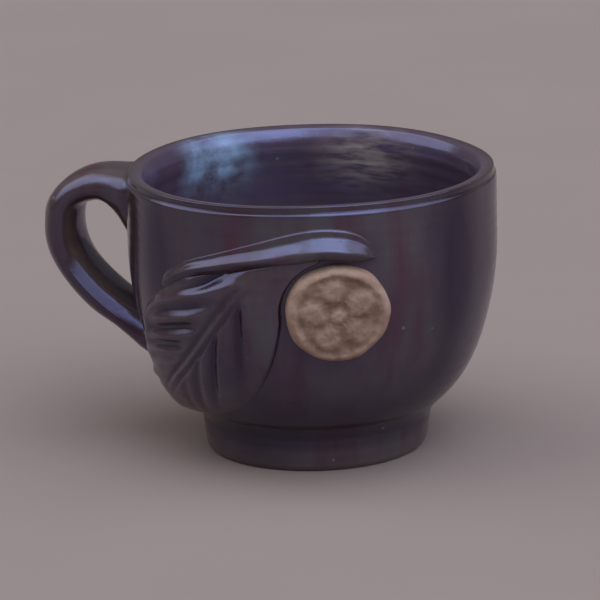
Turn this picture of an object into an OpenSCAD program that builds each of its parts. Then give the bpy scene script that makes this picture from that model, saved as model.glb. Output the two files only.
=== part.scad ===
// Hand-built liqueur cup: a thrown bowl on a foot ring, with a pulled strap handle
// and an applied leaf, stem and clay medallion. Millimetres, +Z up, rest plane at z = 0.
// The handle points along -X and the decorated front faces -Y.

/* [Bowl] */
// Outer diameter at the rim
rim_d = 66; // [58:0.5:76]
// Height of the lip above the table
cup_h = 51.2; // [44:0.2:58]
// Thickness of the thrown wall
wall = 3; // [2:0.1:4]
// Thickness of the floor
floor_t = 3.5; // [2:0.1:5]
// Height of the upright wall, from the belly line to the lip
upright_h = 13.2; // [11.5:0.1:16]
// Height of the flat underside
under_z = 5; // [3.5:0.25:7]
// Radius of the flat underside
under_r = 13; // [10:0.5:15]
// Height of the rounded lip
lip_h = 2.2; // [1.2:0.1:3]

/* [Foot ring] */
// Outer diameter on the table
foot_d = 38.6; // [34.6:0.2:42]
// Outer diameter at the bowl
foot_top_d = 40.8; // [36:0.2:46]
// Inner diameter
foot_in_d = 31; // [27:0.5:34.5]
// Bevel of the ring's lower edges
foot_bevel = 0.8; // [0.4:0.1:1.2]

/* [Handle] */
// Width of the strap
strap_w = 13.2; // [9:0.2:16]
// Thickness of the strap
strap_t = 5.5; // [4:0.1:7]
// Depth of the upper root's middle below the lip
root_drop = 4.8; // [4:0.2:6]
// How far the strap rises above its upper root
root_rise = 2.2; // [0:0.2:3]
// Distance from the wall to the strap's middle at its outermost point
stand_off = 12.6; // [10:0.2:16]
// Depth of the outermost point below the lip
bend_drop = 12.3; // [11:0.1:14]
// Height of the strap's middle at the lower root
low_z = 20; // [17:0.2:22]
// Slope of the strap at the lower root
low_slope = 35; // [28:1:42]
// Length of the strap's run out from the upper root before it turns down
top_pull = 11.3; // [9:0.1:13]
// Length of the strap's run down to its outermost point
shoulder_pull = 5.7; // [4:0.1:8]
// Length of the strap's run down from its outermost point
elbow_pull = 8.1; // [6:0.1:10]
// Length of the strap's run in to the lower root
low_pull = 7; // [4:0.1:10]
// Depth of the clay worked in under the upper root
root_fillet = 9; // [5:0.5:12]

/* [Stem] */
// Distance round the wall from the front to the stem's left tip, positive towards +X
stem_side = -22.5; // [-25:0.5:-19]
// Height of the left tip below the belly line
stem_drop = 0.7; // [0:0.1:2]
// Climb of the straight run
stem_climb = 14; // [11:0.5:16]
// Length of the straight run, which thickens from the tip
stem_run = 28.5; // [25:0.5:32]
// Width of the coil at its left tip
stem_tip_w = 1.2; // [0.8:0.1:2]
// Width of the coil over the medallion
stem_w = 4; // [3:0.1:4.6]
// Thickness of the coil over the medallion
stem_t = 2.6; // [1.8:0.1:3.4]
// Radius of the arch over the medallion
arch_r = 18; // [16:0.5:21]
// Sweep of the arch
arch_sweep = 50; // [40:1:54]

/* [Leaf] */
// Distance along the stem from its left tip to the leaf's base
leaf_join = 25; // [22:0.5:27]
// Distance up the wall from the foot ring to the leaf's tip
tip_gap = 4.4; // [2.5:0.1:8]
// Angle of the midrib below level
leaf_lean = 44; // [41:0.5:50]
// Greatest width on the upper side of the midrib
leaf_up_w = 12.4; // [9:0.2:14]
// Greatest width on the lower side of the midrib
leaf_low_w = 15; // [11:0.2:16.6]
// Greatest thickness of the leaf
leaf_t = 2.3; // [1.8:0.1:3]
// Thickness of the leaf at its edge
leaf_edge_t = 1; // [0.6:0.1:1.5]
// Half-width of the midrib
rib_w = 1.2; // [0.8:0.1:1.8]
// Depth of the pressed veins
vein_d = 0.9; // [0.4:0.1:1.2]
// Side veins on each side of the midrib
vein_count = 8; // [6:1:9]

/* [Medallion] */
// Diameter of the clay button
button_d = 17.8; // [14:0.2:20]
// Height of the button's face above the wall
button_t = 2.7; // [2:0.1:3.6]
// Turn of the button under the arch, from the arch's crown
button_turn = 21; // [0:1:26]
// Bare wall between the button and the stem
button_gap = 1; // [0.4:0.1:1.4]
// Bare wall between the button and the leaf
leaf_gap = 0.8; // [0.4:0.1:1.2]
// Rounding of the button's edge
button_round = 1.3; // [0.8:0.1:1.6]
// Depth of the dents in the button's face
dent_d = 0.35; // [0.2:0.05:0.5]
// Radius of the round tool that makes the dents
dent_r = 2.4; // [1.8:0.1:3]

/* [Hidden] */

glaze = "#3b3038";
bare_clay = "#a98f78";

// Thickness of the slip in each luted joint
lute = 0.05;

rim_r = rim_d / 2;
belly_z = cup_h - upright_h;
inner_flat_r = under_r - wall / 3;
degrees_per_mm = 180 / (PI * rim_r);

// Counts of the steps along each curve
belly_steps = 16;
lip_steps = 10;
strap_steps = 14;
strap_sides = 20;
stem_rows = 36;
stem_cols = 10;
rows_per_vein = 5;
leaf_half_cols = 9;
button_steps = 8;
dents = 7;

// Squareness of the strap's section, and how its upper root spreads on the wall
strap_square_power = 3;
root_fade_share = 0.28;
root_flare_share = 0.15;

// Shares of the leaf's length at its first and last rows, and the power of its fullness
first_row_share = 0.02;
last_row_share = 0.97;
leaf_full_power = 0.9;
// Flatness of the leaf's crown across and along, and how its points crowd to the midrib
crown_across_power = 4;
crown_along_power = 12;
col_crowding_power = 1.4;

// Turn from one dent to the next, and the dents' spread as a share of the button
golden_turn = 137.5;
dent_share = 0.25;

// Share of the coil's tip width left off at each end, where its rows close
end_share = 0.05;

// Radius and height of the bowl's outer face, where turn is 0 at the belly line
// and 90 at the edge of the flat underside
function belly_r(turn, grow = 0) = under_r + (rim_r + grow - under_r) * cos(turn);
function belly_h(turn, grow = 0) = belly_z - (belly_z - under_z + grow) * sin(turn);
function hollow_r(turn) = inner_flat_r + (rim_r - wall - inner_flat_r) * cos(turn);
function hollow_h(turn) = belly_z - (belly_z - under_z - floor_t) * sin(turn);

// The same outer face by height and by radius
function wall_r(z) = belly_r(asin((belly_z - z) / (belly_z - under_z)));
function wall_turn(r) = acos((r - under_r) / (rim_r - under_r));

turns = [for (i = [0:belly_steps]) 90 * i / belly_steps];
function outer_wall(grow = 0) =
    [for (i = [belly_steps:-1:0]) [belly_r(turns[i], grow), belly_h(turns[i], grow)]];
function inner_wall() = [for (turn = turns) [hollow_r(turn), hollow_h(turn)]];
function lip() = [
    for (i = [0:lip_steps])
        let (a = 180 * i / lip_steps)
        [rim_r - wall / 2 + wall / 2 * cos(a), cup_h - lip_h + lip_h * sin(a)]
];

// A place on the bowl's outer face: a distance round the wall, a height along the
// wall from the belly line, and a height off the glaze
function fall(up) = max(0, -up) * degrees_per_mm;
function lean_of(turn) = atan2((rim_r - under_r) * sin(turn), (belly_z - under_z) * cos(turn));
function on_bowl(place, off) =
    let (
        turn = fall(place[1]),
        side = place[0] * degrees_per_mm,
        lean = lean_of(turn),
        r = belly_r(turn) + off * cos(lean),
        z = belly_h(turn) + max(0, place[1]) - off * sin(lean)
    )
    [r * sin(side), -r * cos(side), z];

// The faces of a closed tube of rings, each with the same even number of points
function cap(first, sides) = [
    for (j = [0:sides / 2 - 2])
        [first + j, first + j + 1, first + sides - 2 - j, first + sides - 1 - j]
];
function flip(faces) = [for (f = faces) [f[3], f[2], f[1], f[0]]];
function tube_faces(rings, sides) = concat(
    cap(0, sides),
    [
        for (i = [0:rings - 2], j = [0:sides - 1])
            let (k = (j + 1) % sides)
            [i * sides + j, (i + 1) * sides + j, (i + 1) * sides + k, i * sides + k]
    ],
    flip(cap((rings - 1) * sides, sides))
);

// The full bowl as a plug that cuts the seats of the applied pieces
module bowl_plug() {
    rotate_extrude($fn = 120)
        polygon(concat(
            [[0, under_z - lute]],
            outer_wall(lute),
            [[rim_r + lute, cup_h + strap_t], [0, cup_h + strap_t]]
        ));
}

module bowl() {
    color(glaze)
        rotate_extrude($fn = 120)
            polygon(concat(
                [[0, under_z]],
                outer_wall(),
                lip(),
                inner_wall(),
                [[0, under_z + floor_t]]
            ));
}

// Where the foot ring's outer face meets the bowl
foot_turn = wall_turn(foot_top_d / 2);

module foot_ring() {
    inner_r = foot_in_d / 2;
    outer_r = foot_d / 2;
    head_z = belly_h(foot_turn) + foot_bevel;
    color(glaze)
        difference() {
            rotate_extrude($fn = 120)
                polygon([
                    [inner_r + foot_bevel, 0],
                    [outer_r - foot_bevel, 0],
                    [outer_r, foot_bevel],
                    [foot_top_d / 2, head_z],
                    [inner_r, head_z],
                    [inner_r, foot_bevel]
                ]);
            bowl_plug();
        }
}

// A cubic curve through four control points, and its direction
function bend(p, t) =
    pow(1 - t, 3) * p[0] + 3 * pow(1 - t, 2) * t * p[1] + 3 * (1 - t) * t * t * p[2] + pow(t, 3) * p[3];
function bend_way(p, t) =
    pow(1 - t, 2) * (p[1] - p[0]) + 2 * (1 - t) * t * (p[2] - p[1]) + t * t * (p[3] - p[2]);

// The strap's middle line has two spans: upper root to outermost point to lower root
strap_root = [rim_r - wall, cup_h - root_drop];
strap_peak = [rim_r + stand_off, cup_h - bend_drop];
strap_low = [wall_r(low_z), low_z];
low_way = [-cos(low_slope), -sin(low_slope)];
upper_span = [
    strap_root,
    strap_root + [wall + top_pull, root_rise],
    strap_peak + [0, shoulder_pull],
    strap_peak
];
lower_span = [strap_peak, strap_peak - [0, elbow_pull], strap_low - low_pull * low_way, strap_low];

module handle() {
    upper_steps = [for (i = [0:strap_steps]) i / strap_steps];
    lower_steps = [for (i = [1:strap_steps]) i / strap_steps];
    middle = concat(
        [for (t = upper_steps) bend(upper_span, t)],
        [for (t = lower_steps) bend(lower_span, t)],
        [strap_low + low_pull * low_way]
    );
    way = concat(
        [for (t = upper_steps) bend_way(upper_span, t)],
        [for (t = lower_steps) bend_way(lower_span, t)],
        [low_way]
    );
    rings = len(middle);
    points = [
        for (i = [0:rings - 1], j = [0:strap_sides - 1])
            let (
                a = 360 * j / strap_sides,
                swell = pow(max(0, 1 - i / strap_steps / root_fade_share), 2),
                across = sign(cos(a)) * pow(abs(cos(a)), 2 / strap_square_power) * strap_w / 2,
                through = sign(sin(a)) * pow(abs(sin(a)), 2 / strap_square_power),
                depth = through * (strap_t / 2 + (through < 0 ? root_fillet * swell : 0)),
                out = [-way[i][1], way[i][0]] / norm(way[i]),
                place = middle[i] + depth * out
            )
            [-place[0], across * (1 + root_flare_share * swell), place[1]]
    ];
    color(glaze)
        difference() {
            polyhedron(points, tube_faces(rings, strap_sides), convexity = 6);
            bowl_plug();
        }
}

// The stem's middle line: a straight run that climbs and thickens, then an arch
stem_tip = [stem_side, -stem_drop];
stem_way = [cos(stem_climb), sin(stem_climb)];
stem_below = [sin(stem_climb), -cos(stem_climb)];
arch_start = stem_tip + stem_run * stem_way;
arch_middle = arch_start + arch_r * stem_below;
arch_len = arch_r * arch_sweep * PI / 180;

function stem_turned(s) = max(0, s - stem_run) / arch_r * 180 / PI;
function stem_place(s) =
    s < stem_run
        ? stem_tip + s * stem_way
        : arch_middle + arch_r * [-sin(stem_climb - stem_turned(s)), cos(stem_climb - stem_turned(s))];
function stem_size(s) = stem_tip_w / stem_w + (1 - stem_tip_w / stem_w) * min(1, s / stem_run);
function stem_round(s) =
    let (left = min(s, (stem_run + arch_len - s)) / (stem_w / 2))
    left < 1 ? sqrt(1 - pow(1 - left, 2)) : 1;

module stem() {
    total = stem_run + arch_len;
    skip = stem_tip_w * end_share;
    stops = [for (i = [0:stem_rows]) skip + (total - 2 * skip) * (0.5 - 0.5 * cos(180 * i / stem_rows))];
    qs = [for (j = [0:stem_cols]) cos(180 - 180 * j / stem_cols)];
    points = [
        for (s = stops)
            let (
                heading = stem_climb - stem_turned(s),
                above = [-sin(heading), cos(heading)],
                size = stem_size(s) * stem_round(s),
                places = [for (q = qs) stem_place(s) + q * size * stem_w / 2 * above],
                tops = [for (q = qs) 2 * lute + stem_t * size * sqrt(max(0, 1 - q * q))]
            )
            each concat(
                [for (j = [0:stem_cols]) on_bowl(places[j], tops[j])],
                [for (j = [stem_cols:-1:0]) on_bowl(places[j], lute)]
            )
    ];
    color(glaze)
        polyhedron(points, tube_faces(stem_rows + 1, 2 * (stem_cols + 1)), convexity = 6);
}

// The button hangs under the arch, with a bare gap between them
button_r = button_d / 2;
button_hang = arch_r - stem_w / 2 - button_gap - button_r;
button_place = arch_middle + button_hang * [sin(button_turn), cos(button_turn)];

// The leaf's base lies against the lower edge of the stem's straight run
edge_turn = atan((stem_w - stem_tip_w) / 2 / stem_run);
edge_climb = stem_climb - edge_turn;
edge_below = [sin(edge_climb), -cos(edge_climb)];
leaf_base = stem_place(leaf_join) + (stem_size(leaf_join) * stem_w / 2 + 2 * lute) * stem_below;
leaf_way = [-cos(leaf_lean), -sin(leaf_lean)];
leaf_up = [-sin(leaf_lean), cos(leaf_lean)];

// The leaf's tip stops short of the foot ring
foot_line = -foot_turn / degrees_per_mm;
leaf_len = (leaf_base[1] - foot_line - tip_gap) / sin(leaf_lean);

// Half-widths of the leaf, where u runs from base to tip
function leaf_spread(u) = u <= 0 || u >= 1 ? 0 : pow(sin(180 * pow(u, leaf_full_power)), leaf_full_power);
function stem_room(u) = u * leaf_len * (leaf_way * edge_below) / -(leaf_up * edge_below);
function half_width(u, upper) =
    upper ? min(leaf_up_w * leaf_spread(u), stem_room(u)) : leaf_low_w * leaf_spread(u);

// Side veins leave the midrib square at the base and slant forward further along
function slant(s) = 1 - exp(-2 * s * leaf_len / leaf_up_w);
function reach_out(s, upper, low, high, tries = 14) =
    let (mid = (low + high) / 2)
    tries == 0 ? mid
    : half_width(s + slant(s) * mid / leaf_len, upper) > mid ? reach_out(s, upper, mid, high, tries - 1)
    : reach_out(s, upper, low, mid, tries - 1);
function button_room(s) =
    let (
        way = slant(s) * leaf_way - leaf_up,
        from = leaf_base + s * leaf_len * leaf_way - button_place,
        b = (from * way) / (way * way),
        c = (from * from - pow(button_r + leaf_gap, 2)) / (way * way)
    )
    b > 0 || b * b < c ? leaf_low_w : -b - sqrt(b * b - c);
function vein_length(s, upper) =
    upper ? reach_out(s, true, 0, leaf_up_w) : min(reach_out(s, false, 0, leaf_low_w), button_room(s));

// Relief across one row of the leaf, where q is 0 on the midrib and 1 at the edge
function leaf_height(s, q, p) =
    let (
        dome = sqrt((1 - pow(q, crown_across_power)) * (1 - pow(abs(2 * s - 1), crown_along_power))),
        side_vein = pow(0.5 + 0.5 * cos(360 * s * vein_count), 2) * (1 - exp(-pow(p / rib_w, 2))),
        rib_groove = exp(-pow(2 * (p - rib_w) / rib_w, 2))
    )
    lute + leaf_edge_t + (leaf_t - leaf_edge_t) * dome - vein_d * dome * max(side_vein, rib_groove);

module leaf() {
    rows = rows_per_vein * vein_count;
    stations = [for (i = [0:rows]) first_row_share + (last_row_share - first_row_share) * i / rows];
    qs = [
        for (j = [-leaf_half_cols:leaf_half_cols])
            sign(j) * pow(abs(j) / leaf_half_cols, col_crowding_power)
    ];
    cols = len(qs) - 1;
    points = [
        for (s = stations)
            let (
                up_len = vein_length(s, true),
                low_len = vein_length(s, false),
                ps = [for (q = qs) q * (q > 0 ? up_len : low_len)],
                places = [
                    for (p = ps)
                        leaf_base + (s * leaf_len + slant(s) * abs(p)) * leaf_way + p * leaf_up
                ]
            )
            each concat(
                [for (j = [0:cols]) on_bowl(places[j], leaf_height(s, abs(qs[j]), abs(ps[j])))],
                [for (j = [cols:-1:0]) on_bowl(places[j], lute)]
            )
    ];
    color(glaze)
        polyhedron(points, tube_faces(rows + 1, 2 * (cols + 1)), convexity = 8);
}

// The clay button is pressed to the wall and dented at random
module medallion() {
    button_depth = 2 * (rim_r - sqrt(rim_r * rim_r - button_r * button_r));
    dent_spread = button_r * dent_share;
    edge = [
        for (i = [0:button_steps])
            let (a = 90 * i / button_steps)
            [button_r, button_t] + button_round * [cos(a) - 1, sin(a) - 1]
    ];
    color(bare_clay)
        difference() {
            translate(on_bowl(button_place, 0))
                rotate([90 + lean_of(fall(button_place[1])), 0, button_place[0] * degrees_per_mm])
                    difference() {
                        rotate_extrude($fn = 96)
                            polygon(concat(
                                [[0, -button_depth], [button_r, -button_depth]],
                                edge,
                                [[0, button_t]]
                            ));
                        for (i = [1:dents])
                            rotate(golden_turn * i)
                                translate([dent_spread * sqrt(i), 0, button_t + dent_r - dent_d])
                                    sphere(dent_r, $fn = 32);
                    }
            bowl_plug();
        }
}

bowl();
foot_ring();
handle();
leaf();
stem();
medallion();
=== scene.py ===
# Looks of a small dark-glazed liqueur cup with a strap handle, a relief leaf, a stem and a clay medallion.
# Sizes are in millimetres in the CAD frame: handle along -X, decorated front towards -Y, table at z = 0.
# A name that ends in ZONE is a pair: where a soft step starts and where it is complete.
import math

import bpy
import numpy as np
from mathutils import Matrix, Vector, noise


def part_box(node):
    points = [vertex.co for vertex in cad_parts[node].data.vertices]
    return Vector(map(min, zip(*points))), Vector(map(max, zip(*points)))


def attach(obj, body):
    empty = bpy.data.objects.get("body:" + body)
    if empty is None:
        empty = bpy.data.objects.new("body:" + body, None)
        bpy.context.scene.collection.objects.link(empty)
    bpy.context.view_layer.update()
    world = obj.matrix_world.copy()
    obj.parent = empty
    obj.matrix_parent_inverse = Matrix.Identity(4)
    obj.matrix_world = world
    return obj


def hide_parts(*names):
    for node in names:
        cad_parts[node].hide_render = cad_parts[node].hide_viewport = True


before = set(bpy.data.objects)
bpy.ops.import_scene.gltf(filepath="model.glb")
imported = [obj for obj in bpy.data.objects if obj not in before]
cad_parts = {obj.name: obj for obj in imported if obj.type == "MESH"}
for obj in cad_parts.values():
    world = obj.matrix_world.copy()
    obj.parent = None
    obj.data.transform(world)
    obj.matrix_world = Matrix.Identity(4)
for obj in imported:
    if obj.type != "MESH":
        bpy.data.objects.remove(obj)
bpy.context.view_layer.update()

MM = 0.001


def box_mm(node):
    """Lowest and highest corner of a CAD node, in millimetres."""
    low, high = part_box(node)
    return np.array(low) / MM, np.array(high) / MM


def smooth(low, high, x):
    """Smooth step from 0 at low to 1 at high."""
    t = np.clip((np.asarray(x, float) - low) / (high - low), 0, 1)
    return t * t * (3 - 2 * t)


def fading(low, high, x):
    """Smooth step from 1 at low to 0 at high."""
    return 1 - smooth(low, high, x)


def bell(x, middle, spread):
    """Bell curve: 1 at the middle, falling off over the spread."""
    return np.exp(-(((x - middle) / spread) ** 2))


def bezier(points, t):
    """Points of a curve with three or four control points."""
    t = np.asarray(t, float)[:, None]
    points = [np.asarray(p, float) for p in points]
    while len(points) > 1:
        points = [(1 - t) * a + t * b for a, b in zip(points, points[1:])]
    return points[0]


def turned(heading):
    """Unit vector at a heading in a plane."""
    return np.stack([np.cos(heading), np.sin(heading)], axis=-1)


def turn_outward(mesh):
    """Turn the faces of a closed mesh so that their normals point out."""
    mesh.calc_loop_triangles()
    points = np.array([v.co for v in mesh.vertices])
    corners = points[np.array([t.vertices for t in mesh.loop_triangles])]
    volume = np.einsum("ij,ij->i", corners[:, 0], np.cross(corners[:, 1], corners[:, 2])).sum()
    if volume < 0:
        mesh.flip_normals()


def tube_object(name, rings, loop=False, **layers):
    """Closed mesh through rings of points in millimetres. Each layer is a named value for every point."""
    rings = np.asarray(rings, float)
    count, sides = rings.shape[:2]
    index = np.arange(count * sides).reshape(count, sides)
    after = np.roll(index, -1, axis=1)
    if loop:
        nexts = np.roll(index, -1, axis=0)
        nexts_after = np.roll(after, -1, axis=0)
        first, second = index, after
    else:
        first, second = index[:-1], after[:-1]
        nexts, nexts_after = index[1:], after[1:]
    faces = np.stack([first, second, nexts_after, nexts], axis=-1).reshape(-1, 4).tolist()
    points = rings.reshape(-1, 3)
    values = {key: np.asarray(layer, float).reshape(-1) for key, layer in layers.items()}
    if not loop:
        ends = np.array([rings[0].mean(axis=0), rings[-1].mean(axis=0)])
        points = np.vstack([points, ends])
        values = {key: np.append(v, [v[:sides].mean(), v[-sides:].mean()]) for key, v in values.items()}
        head, tail = count * sides, count * sides + 1
        faces += [[head, b, a] for a, b in zip(index[0], after[0])]
        faces += [[tail, a, b] for a, b in zip(index[-1], after[-1])]
    mesh = bpy.data.meshes.new(name)
    mesh.from_pydata((points * MM).tolist(), [], [[int(i) for i in face] for face in faces])
    for key, value in values.items():
        mesh.attributes.new(key, "FLOAT", "POINT").data.foreach_set("value", value.astype(np.float32))
    mesh.validate()
    mesh.shade_smooth()
    turn_outward(mesh)
    piece = bpy.data.objects.new(name, mesh)
    bpy.context.scene.collection.objects.link(piece)
    return piece


# Bowl, with the reach out and down of its curved wall, outside and inside
bowl_low, bowl_high = box_mm("bowl")
RIM_R = bowl_high[0]
CUP_H = bowl_high[2]
UNDER_Z = bowl_low[2]
UNDER_R = 13.0
WALL = 3.0
FLOOR_T = 3.5
UPRIGHT_H = 13.2
BELLY_Z = CUP_H - UPRIGHT_H
BELLY_R = RIM_R - UNDER_R
BELLY_H = BELLY_Z - UNDER_Z
HOLLOW_FLAT_R = UNDER_R - WALL / 3
HOLLOW_R = RIM_R - WALL - HOLLOW_FLAT_R
HOLLOW_H = BELLY_H - FLOOR_T

# Points round the cup, rows along the stretches of its wall, and the radius where the rows end
AROUND = 240
UNDER_ROWS = 8
BELLY_ROWS = 48
UPRIGHT_ROWS = 18
LIP_ROWS = 10
HOLLOW_ROWS = 60
FLOOR_ROWS = 10
MIDDLE_R = 0.7

# A belly that is fuller on the right
BELLY_FULL = 0.5
BELLY_FULL_Z = 13.0
BELLY_FULL_H = 8.0
BELLY_ONE_SIDED = 0.35
BELLY_FULL_TURN = 0.23

# Waves of the thrown wall: count round it, height, phase, and turn per millimetre up
WALL_WAVES = (
    (2, 0.10, -2.0, 0.0),
    (3, 0.12, 2.0, 0.02),
    (5, 0.04, 0.0, 0.11),
)
THROW_D = 0.025
THROW_PITCH = 2.3

# Throwing rings inside, which end below the lip
RING_D = 0.035
RING_PITCH = 3.1
FINE_RING_D = 0.018
FINE_RING_PITCH = 1.3
RING_END_ZONE = (CUP_H - 5, CUP_H - 3)

# Waves in the height of the rim
RIM_WAVES = 2
RIM_WAVE = 0.16
RIM_WAVE_PHASE = 1.0
RIM_RIPPLES = 5
RIM_RIPPLE = 0.07
RIM_WAVE_ZONE = (CUP_H - 6, CUP_H)

# Lip outline: points as distances in from the rim and down from the top
LEDGE_FOOT = (0, 1.95)
LEDGE_HOLLOW = (0, 1.4625)
LEDGE_MIDDLE = (0.21, 1.35)
LEDGE_SHOULDER = (0.42, 0.9375)
LEDGE_TOP = (0.42, 0.75)
BAND_TOP = (0.47, 0.15)
BAND_CORNER = (0.52, 0)
CREST = (0.75, 0)
BEVEL_START = (2.3, 0.15)
BEVEL_CORNER = (2.7, 0.25)
BEVEL_TOP = (3.0, 0.6)
BEVEL_FOOT = (3.5, 1.6)
BEVEL_TURN = (3.74, 1.99)
LIP_FOOT = (4.0, 4.0)
LIP_CURVES = (
    (LEDGE_FOOT, LEDGE_HOLLOW, LEDGE_MIDDLE),
    (LEDGE_MIDDLE, LEDGE_SHOULDER, LEDGE_TOP),
    (BAND_TOP, BAND_CORNER, CREST),
    (BEVEL_START, BEVEL_CORNER, BEVEL_TOP),
    (BEVEL_FOOT, BEVEL_TURN, LIP_FOOT),
)

# Thin glaze and painted shade by height: strengths and where they lie
LIP_THIN = 0.25
LIP_THIN_ZONE = (CUP_H - 1.6, CUP_H - 0.2)
# Painted shade: the lip's top is darkened
LIP_PAINTED_SHADE = 0.45
LIP_PAINTED_SHADE_ZONE = (CUP_H - 2.4, CUP_H - 0.8)
# Painted shade: the outside darkens towards the bottom
LOW_PAINTED_SHADE = 0.7
LOW_PAINTED_SHADE_ZONE = (9, 26)

# Soft patches of glaze colour, painted dark reflection bands and painted sky reflection: strength, angle from
# the front in degrees, height, half width in degrees, half height
RUN_Z = 37.0
RUN_TALL = 18.0
# Dark patches outside: the four at the front sides, from -62 to 88 degrees, are painted dark reflection
# bands; the three at the back are dark runs of the glaze
DARK_RUNS_AND_PAINTED_REFLECTIONS = (
    (1.3, -42, RUN_Z, 8, RUN_TALL),
    (0.6, -62, RUN_Z, 10, RUN_TALL),
    (1.3, 64, RUN_Z, 9, RUN_TALL),
    (0.8, 88, RUN_Z, 13, RUN_TALL),
    (1.0, 140, RUN_Z, 10, RUN_TALL),
    (1.0, 205, RUN_Z, 14, RUN_TALL),
    (1.0, 262, RUN_Z, 10, RUN_TALL),
)
# Painted sky reflection inside: pale blue patches on the inner wall
PAINTED_REFLECTION_PATCHES = (
    (1.0, 230, 46.5, 13, 5),
    (0.6, 35, 30, 25, 9),
)
ASH_PATCHES = (
    (1.0, 172, 46, 15, 4.5),
    (0.7, 300, 25, 25, 8),
)


def hand_wobble(side, z):
    """How far the thrown wall strays from a true circle, by angle and height."""
    one_sided = 1 - BELLY_ONE_SIDED + BELLY_ONE_SIDED * np.sin(side - BELLY_FULL_TURN)
    wobble = BELLY_FULL * bell(z, BELLY_FULL_Z, BELLY_FULL_H) * one_sided
    for count, high, phase, twist in WALL_WAVES:
        wobble = wobble + high * np.sin(count * side + phase + twist * z)
    return wobble + THROW_D * np.sin(2 * np.pi * z / THROW_PITCH + side)


def belly(turn):
    """Radius and height of the outer wall, at a turn below the belly line."""
    return np.column_stack([UNDER_R + BELLY_R * np.cos(turn), BELLY_Z - BELLY_H * np.sin(turn)])


def hollow(turn):
    """Radius and height of the inner wall, at a turn below the belly line."""
    return np.column_stack([HOLLOW_FLAT_R + HOLLOW_R * np.cos(turn), BELLY_Z - HOLLOW_H * np.sin(turn)])


def lean_at(turn):
    """Lean of the outer wall from upright, at a turn below the belly line."""
    return np.arctan2(BELLY_R * np.sin(turn), BELLY_H * np.cos(turn))


def turn_at(z):
    """Turn below the belly line where the outer wall has a height."""
    return np.arcsin(np.clip((BELLY_Z - z) / BELLY_H, 0, 1))


def wall_radius(z):
    """Radius of the outer wall at a height."""
    return UNDER_R + BELLY_R * np.cos(turn_at(z))


def revolve(profile, sides):
    """Radius, angle from the front and height of a profile turned about the cup's axis."""
    angle = np.linspace(0, 2 * np.pi, sides, endpoint=False)
    r, z = profile[:, :1], profile[:, 1:]
    side = np.broadcast_to(angle, (len(profile), sides))
    return r + 0 * side, side, z + 0 * side


def spun(r, side, z):
    """Points at a radius, an angle from the front and a height."""
    return np.stack([r * np.sin(side), -r * np.cos(side), z], axis=-1)


def on_bowl(across, up, off):
    """Point on the unrolled outer wall: across and up from the front of the belly line, and off the wall.

    Below that line the distance up is the angle on the wall's curve times the rim's radius.
    """
    across, up, off = np.broadcast_arrays(across, up, off)
    turn = np.maximum(0, -up) / RIM_R
    side = across / RIM_R
    lean = lean_at(turn)
    z = BELLY_Z - BELLY_H * np.sin(turn) + np.maximum(0, up)
    r = UNDER_R + BELLY_R * np.cos(turn) + hand_wobble(side, z) + off * np.cos(lean)
    return spun(r, side, z - off * np.sin(lean))


def lip_curve():
    """The lip: a small outer ledge, a narrow upright band, a flat top, and a wide bevel to the inner wall."""
    steps = np.linspace(0, 1, LIP_ROWS)
    ledge_low, ledge_high, *rest = [bezier(points, steps) for points in LIP_CURVES]
    return np.array([RIM_R, CUP_H]) - np.vstack([ledge_low, ledge_high[1:], *rest])


def level(r, z):
    """A level stretch of a profile."""
    return np.column_stack([r, np.full_like(r, z)])


def bowl_profile():
    """The wall from the middle of the underside, over the lip, to the middle of the floor."""
    straight = np.linspace(0, 1, UPRIGHT_ROWS)[1:-1, None]
    lip = lip_curve()
    belly_top, hollow_top = belly(np.array([0.0])), hollow(np.array([0.0]))
    return np.vstack([
        level(np.linspace(MIDDLE_R, UNDER_R, UNDER_ROWS)[:-1], UNDER_Z),
        belly(np.linspace(np.pi / 2, 0, BELLY_ROWS)),
        belly_top + straight * (lip[0] - belly_top),
        lip,
        lip[-1] + straight * (hollow_top - lip[-1]),
        hollow(np.linspace(0, np.pi / 2, HOLLOW_ROWS)),
        level(np.linspace(HOLLOW_FLAT_R, MIDDLE_R, FLOOR_ROWS)[1:], UNDER_Z + FLOOR_T),
    ])


def patches(side, z, spots):
    """Soft spots on the wall, each strongest at its middle and fading over its half width and half height."""
    total = 0 * z
    for strong, at_side, at_z, wide, tall in spots:
        turn = np.angle(np.exp(1j * (side - math.radians(at_side))))
        total = total + strong * np.exp(-((turn / math.radians(wide)) ** 2) - ((z - at_z) / tall) ** 2)
    return total


def bowl_layers(side, z, inside):
    """Layers of the bowl's glaze: thin glaze and painted shade at the lip, dark runs and painted dark
    reflection bands outside, painted shade towards the bottom, and inside a painted sky reflection and ash
    patches.
    """
    runs_and_shade = np.minimum(1, patches(side, z, DARK_RUNS_AND_PAINTED_REFLECTIONS) + LOW_PAINTED_SHADE * fading(*LOW_PAINTED_SHADE_ZONE, z))
    return {
        "thin": LIP_THIN * smooth(*LIP_THIN_ZONE, z),
        "inner": inside + 0 * z,
        "painted_reflection": inside * patches(side, z, PAINTED_REFLECTION_PATCHES),
        "ash": inside * patches(side, z, ASH_PATCHES),
        "thick": np.maximum(np.where(inside, 0, runs_and_shade), LIP_PAINTED_SHADE * smooth(*LIP_PAINTED_SHADE_ZONE, z)),
    }


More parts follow.
